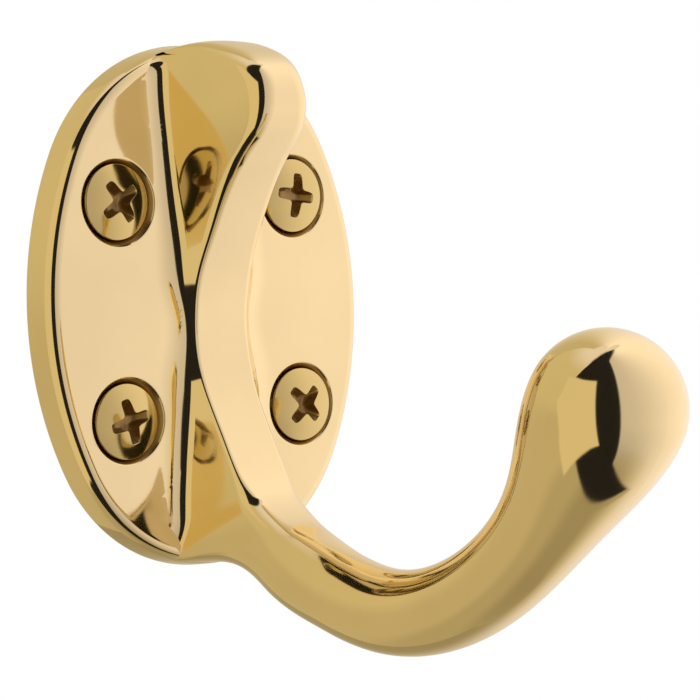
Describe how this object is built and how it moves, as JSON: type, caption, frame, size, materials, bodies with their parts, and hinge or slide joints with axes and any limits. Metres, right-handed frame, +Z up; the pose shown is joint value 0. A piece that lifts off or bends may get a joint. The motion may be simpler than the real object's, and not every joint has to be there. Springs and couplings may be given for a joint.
{
  "type": "costume hook",
  "caption": "Polished brass costume hook: an oval wall plate with a raised ridge that stands out as a lip at the top and runs down into a round, upward-curving arm with a ball end.",
  "frame": {"origin": "centre of the wall plate's flat back face", "axes": "+Z up, +Y out of the back face into the wall, the hook stands out along -Y"},
  "size_m": [0.043, 0.0797, 0.0642],
  "materials": {
    "polished_brass": "polished",
    "screw_brass": "polished"
  },
  "bodies": {
    "root": {"hook": "polished_brass", "mounting_screws": "screw_brass"}
  },
  "joints": []
}
